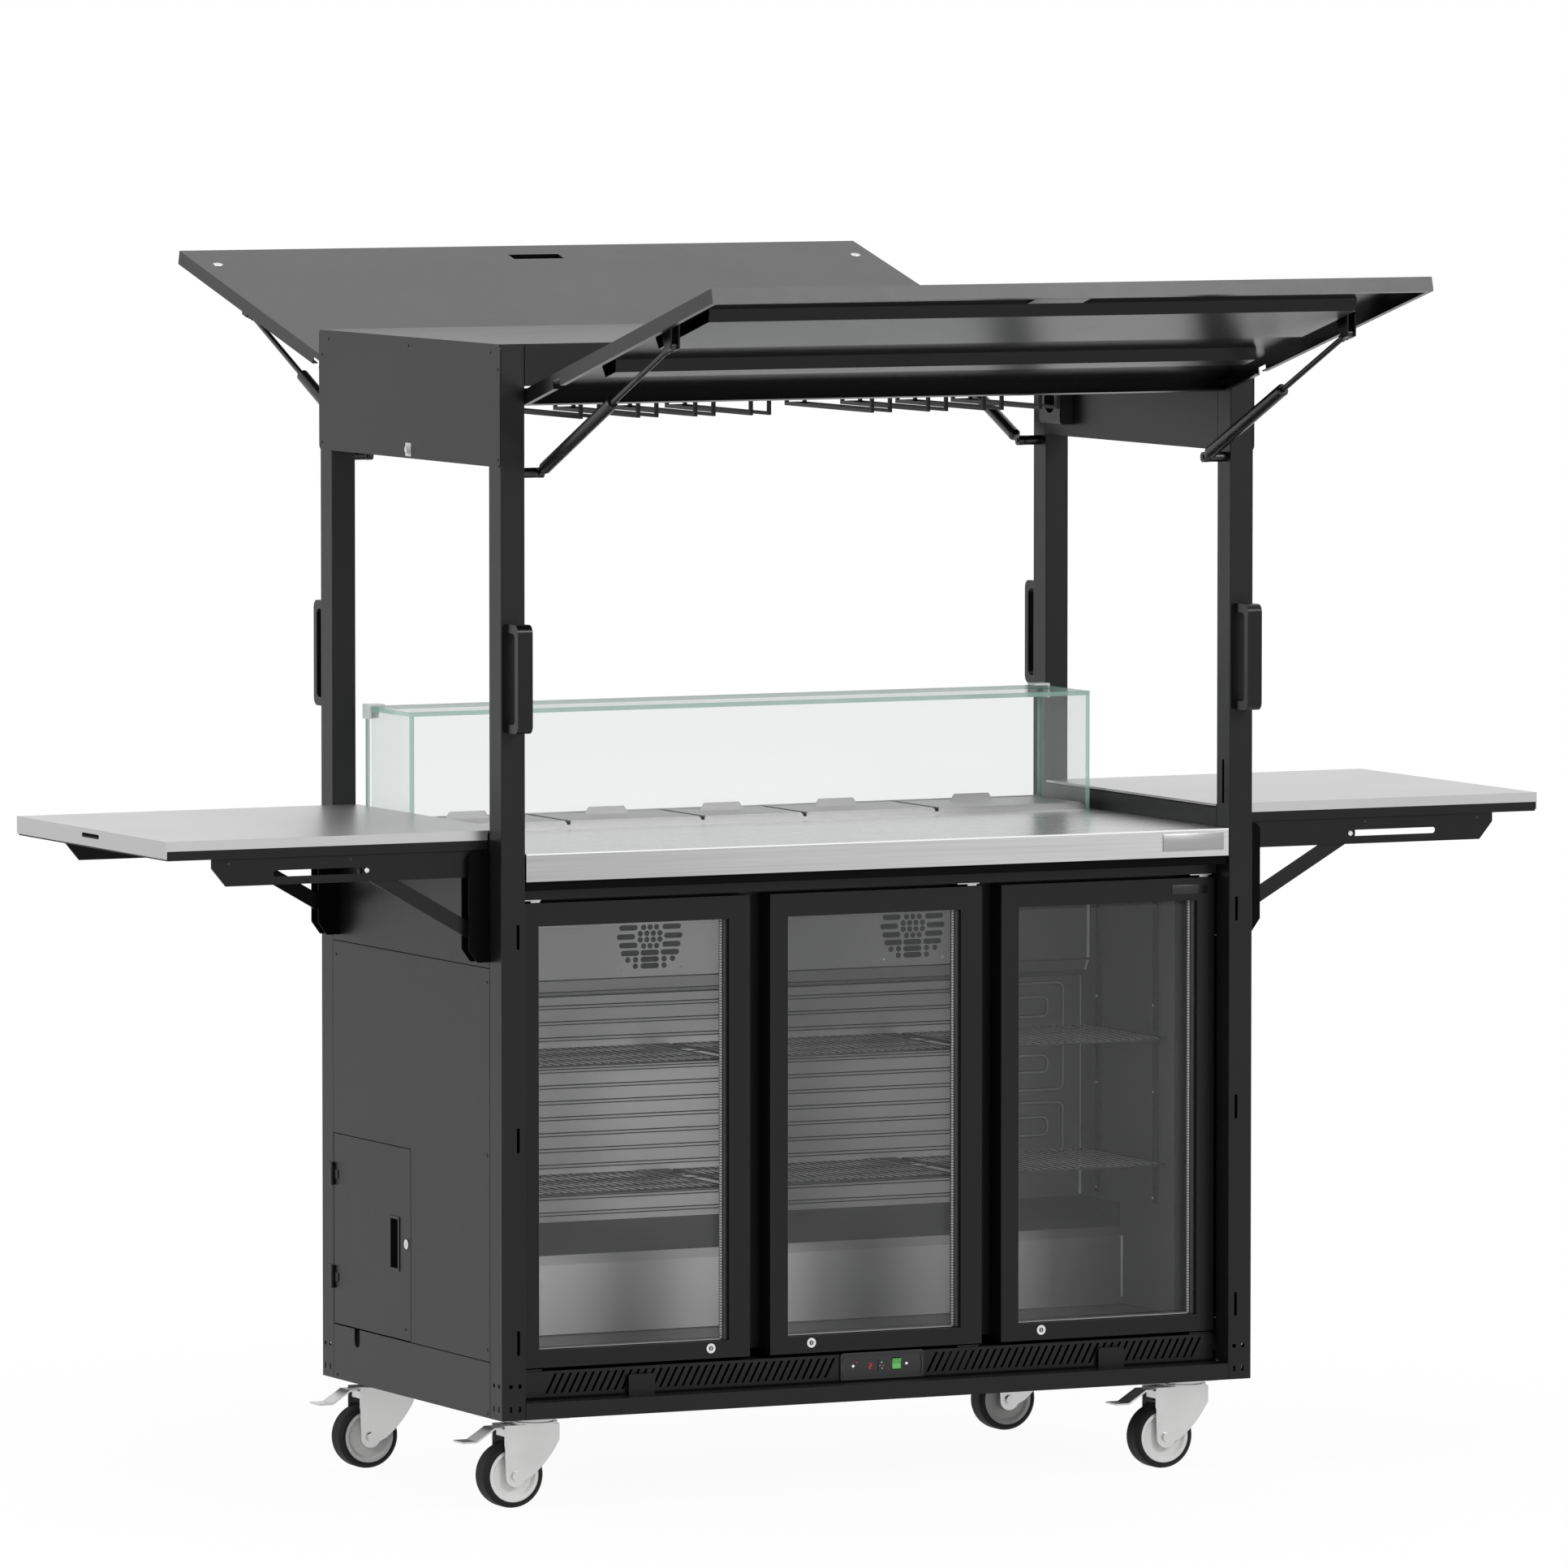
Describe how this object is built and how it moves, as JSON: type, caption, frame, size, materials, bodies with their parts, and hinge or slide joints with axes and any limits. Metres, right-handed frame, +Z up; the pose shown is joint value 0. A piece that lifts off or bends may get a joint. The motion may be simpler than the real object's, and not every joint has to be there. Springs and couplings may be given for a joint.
{
  "type": "mobile bar station",
  "caption": "Mobile bar station on castors: glazed back bar cooler, steel worktop with topping rail and glass canopy, folding side shelves, roof with gas-strut flaps.",
  "frame": {"origin": "centre of the footprint, on the floor", "axes": "+Z up, -Y is the front with the cooler doors, +X to the right seen from the front"},
  "size_m": [2.65, 2.2378, 2.1199],
  "materials": {
    "black_steel": "satin powder coat",
    "stainless": "brushed",
    "glass": "clear",
    "clear_plastic": "clear",
    "zinc": "bright zinc",
    "tyre_hub": "matte tread on a light grey centre",
    "black_plastic": "satin",
    "liner_sheet": "satin",
    "insulated_body": "satin black skin on foam",
    "door_aluminium": "black anodised",
    "strut_black": "satin"
  },
  "bodies": {
    "station": {"corner_posts": "black_steel", "frame_rails": "black_steel", "roof_panel": "black_steel", "header_channels": "black_steel", "side_headers": "black_steel", "left_panels": "black_steel", "fixed_panels": "black_steel", "cooler_cabinet": "insulated_body", "cooler_liner": "liner_sheet", "fan_covers": "liner_sheet", "wire_shelves": "black_steel", "shelf_rails": "black_steel", "vent_grille": "black_steel", "control_panel": "black_plastic", "worktop": "stainless", "topping_well": "stainless", "topping_pans": "stainless", "pan_lids": "stainless", "glass_cover": "glass", "glass_clips": "clear_plastic", "pull_handles": "black_steel", "stemware_racks": "black_steel", "shelf_brackets": "black_steel", "strut_studs": "strut_black", "castor_plates": "zinc", "socket_box": "black_steel"},
    "rocker": {"rocker_switch": "black_plastic"},
    "service_door": {"service_door": "black_steel"},
    "service_lock": {"service_lock": "zinc"},
    "door_1": {"door_frame_1": "door_aluminium", "door_glass_1": "glass"},
    "door_lock_1": {"door_lock_1": "zinc"},
    "door_2": {"door_frame_2": "door_aluminium", "door_glass_2": "glass"},
    "door_lock_2": {"door_lock_2": "zinc"},
    "door_3": {"door_frame_3": "door_aluminium", "door_glass_3": "glass"},
    "door_lock_3": {"door_lock_3": "zinc"},
    "front_flap": {"front_flap": "black_steel"},
    "front_cylinders": {"front_cylinders": "strut_black"},
    "front_rods": {"front_rods": "strut_black"},
    "rear_flap": {"rear_flap": "black_steel"},
    "rear_cylinders": {"rear_cylinders": "strut_black"},
    "rear_rods": {"rear_rods": "strut_black"},
    "left_shelf": {"left_shelf": "stainless"},
    "left_stays": {"left_stay_arms": "black_steel"},
    "right_shelf": {"right_shelf": "stainless"},
    "right_stays": {"right_stay_arms": "black_steel"},
    "castor_front_left": {"fork_front_left": "zinc"},
    "wheel_front_left": {"wheel_front_left": "tyre_hub"},
    "pedal_front_left": {"pedal_front_left": "zinc"},
    "castor_front_right": {"fork_front_right": "zinc"},
    "wheel_front_right": {"wheel_front_right": "tyre_hub"},
    "pedal_front_right": {"pedal_front_right": "zinc"},
    "castor_rear_left": {"fork_rear_left": "zinc"},
    "wheel_rear_left": {"wheel_rear_left": "tyre_hub"},
    "pedal_rear_left": {"pedal_rear_left": "zinc"},
    "castor_rear_right": {"fork_rear_right": "zinc"},
    "wheel_rear_right": {"wheel_rear_right": "tyre_hub"},
    "pedal_rear_right": {"pedal_rear_right": "zinc"}
  },
  "joints": [
    {"name": "rocker_tilt", "type": "hinge", "parent": "station", "child": "rocker", "pos_m": [0.05, -0.333, 0.2145], "axis": [-1, 0, 0], "range_deg": [0, 10]},
    {"name": "service_door_hinge", "type": "hinge", "parent": "station", "child": "service_door", "pos_m": [-0.7282, 0.3285, 0.424], "axis": [0, 0, -1], "range_deg": [0, 95]},
    {"name": "service_lock_turn", "type": "hinge", "parent": "service_door", "child": "service_lock", "pos_m": [-0.72, 0.016, 0.425], "axis": [1, 0, 0], "range_deg": [0, 90]},
    {"name": "door_1_hinge", "type": "hinge", "parent": "station", "child": "door_1", "pos_m": [-0.662, -0.322, 0.64], "axis": [0, 0, -1], "range_deg": [0, 90]},
    {"name": "door_lock_1_turn", "type": "hinge", "parent": "door_1", "child": "door_lock_1", "pos_m": [-0.3077, -0.334, 0.2587], "axis": [0, 1, 0], "range_deg": [0, 90]},
    {"name": "door_2_hinge", "type": "hinge", "parent": "station", "child": "door_2", "pos_m": [0.205, -0.322, 0.64], "axis": [0, 0, 1], "range_deg": [0, 90]},
    {"name": "door_lock_2_turn", "type": "hinge", "parent": "door_2", "child": "door_lock_2", "pos_m": [-0.11442, -0.334, 0.2587], "axis": [0, 1, 0], "range_deg": [0, 90]},
    {"name": "door_3_hinge", "type": "hinge", "parent": "station", "child": "door_3", "pos_m": [0.662, -0.322, 0.64], "axis": [0, 0, 1], "range_deg": [0, 90]},
    {"name": "door_lock_3_turn", "type": "hinge", "parent": "door_3", "child": "door_lock_3", "pos_m": [0.333, -0.334, 0.2587], "axis": [0, 1, 0], "range_deg": [0, 90]},
    {"name": "front_flap_hinge", "type": "hinge", "parent": "station", "child": "front_flap", "pos_m": [0, -0.372, 1.916], "axis": [-1, 0, 0], "range_deg": [-104.8, 0]},
    {"name": "front_strut_swing", "type": "hinge", "parent": "station", "child": "front_cylinders", "pos_m": [0, -0.358, 1.782], "axis": [-1, 0, 0], "range_deg": [-117, 0]},
    {"name": "front_strut_slide", "type": "slide", "parent": "front_cylinders", "child": "front_rods", "axis": [0, -0.9128, 0.4083], "range_m": [-0.19, 0]},
    {"name": "rear_flap_hinge", "type": "hinge", "parent": "station", "child": "rear_flap", "pos_m": [0, 0.372, 1.916], "axis": [1, 0, 0], "range_deg": [-104.8, 0]},
    {"name": "rear_strut_swing", "type": "hinge", "parent": "station", "child": "rear_cylinders", "pos_m": [0, 0.358, 1.782], "axis": [1, 0, 0], "range_deg": [-117, 0]},
    {"name": "rear_strut_slide", "type": "slide", "parent": "rear_cylinders", "child": "rear_rods", "axis": [0, 0.9128, 0.4083], "range_m": [-0.19, 0]},
    {"name": "left_shelf_hinge", "type": "hinge", "parent": "station", "child": "left_shelf", "pos_m": [-0.747, 0, 1.106], "axis": [0, 1, 0], "range_deg": [-90, 0]},
    {"name": "left_stay_swing", "type": "hinge", "parent": "station", "child": "left_stays", "pos_m": [-0.745, 0, 0.992], "axis": [0, 1, 0], "range_deg": [-119, 0]},
    {"name": "right_shelf_hinge", "type": "hinge", "parent": "station", "child": "right_shelf", "pos_m": [0.747, 0, 1.106], "axis": [0, -1, 0], "range_deg": [-90, 0]},
    {"name": "right_stay_swing", "type": "hinge", "parent": "station", "child": "right_stays", "pos_m": [0.745, 0, 0.992], "axis": [0, -1, 0], "range_deg": [-119, 0]},
    {"name": "swivel_front_left", "type": "hinge", "parent": "station", "child": "castor_front_left", "pos_m": [-0.63, -0.305, 0.147], "axis": [0, 0, 1], "continuous": true},
    {"name": "roll_front_left", "type": "hinge", "parent": "castor_front_left", "child": "wheel_front_left", "pos_m": [-0.678, -0.305, 0.0565], "axis": [0, 1, 0], "continuous": true},
    {"name": "brake_front_left", "type": "hinge", "parent": "castor_front_left", "child": "pedal_front_left", "pos_m": [-0.67, -0.305, 0.133], "axis": [0, -1, 0], "range_deg": [0, 12]},
    {"name": "swivel_front_right", "type": "hinge", "parent": "station", "child": "castor_front_right", "pos_m": [0.63, -0.305, 0.147], "axis": [0, 0, 1], "continuous": true},
    {"name": "roll_front_right", "type": "hinge", "parent": "castor_front_right", "child": "wheel_front_right", "pos_m": [0.582, -0.305, 0.0565], "axis": [0, 1, 0], "continuous": true},
    {"name": "brake_front_right", "type": "hinge", "parent": "castor_front_right", "child": "pedal_front_right", "pos_m": [0.59, -0.305, 0.133], "axis": [0, -1, 0], "range_deg": [0, 12]},
    {"name": "swivel_rear_left", "type": "hinge", "parent": "station", "child": "castor_rear_left", "pos_m": [-0.63, 0.305, 0.147], "axis": [0, 0, 1], "continuous": true},
    {"name": "roll_rear_left", "type": "hinge", "parent": "castor_rear_left", "child": "wheel_rear_left", "pos_m": [-0.678, 0.305, 0.0565], "axis": [0, 1, 0], "continuous": true},
    {"name": "brake_rear_left", "type": "hinge", "parent": "castor_rear_left", "child": "pedal_rear_left", "pos_m": [-0.67, 0.305, 0.133], "axis": [0, -1, 0], "range_deg": [0, 12]},
    {"name": "swivel_rear_right", "type": "hinge", "parent": "station", "child": "castor_rear_right", "pos_m": [0.63, 0.305, 0.147], "axis": [0, 0, 1], "continuous": true},
    {"name": "roll_rear_right", "type": "hinge", "parent": "castor_rear_right", "child": "wheel_rear_right", "pos_m": [0.582, 0.305, 0.0565], "axis": [0, 1, 0], "continuous": true},
    {"name": "brake_rear_right", "type": "hinge", "parent": "castor_rear_right", "child": "pedal_rear_right", "pos_m": [0.59, 0.305, 0.133], "axis": [0, -1, 0], "range_deg": [0, 12]}
  ],
  "couplings": [
    {"joint": "front_strut_swing", "follows": "front_flap_hinge", "ratio": 1.1156},
    {"joint": "front_strut_slide", "follows": "front_flap_hinge", "m_per_rad": 0.10325},
    {"joint": "rear_strut_swing", "follows": "rear_flap_hinge", "ratio": 1.1156},
    {"joint": "rear_strut_slide", "follows": "rear_flap_hinge", "m_per_rad": 0.10325},
    {"joint": "left_stay_swing", "follows": "left_shelf_hinge", "ratio": 1.3154},
    {"joint": "right_stay_swing", "follows": "right_shelf_hinge", "ratio": 1.3154}
  ]
}
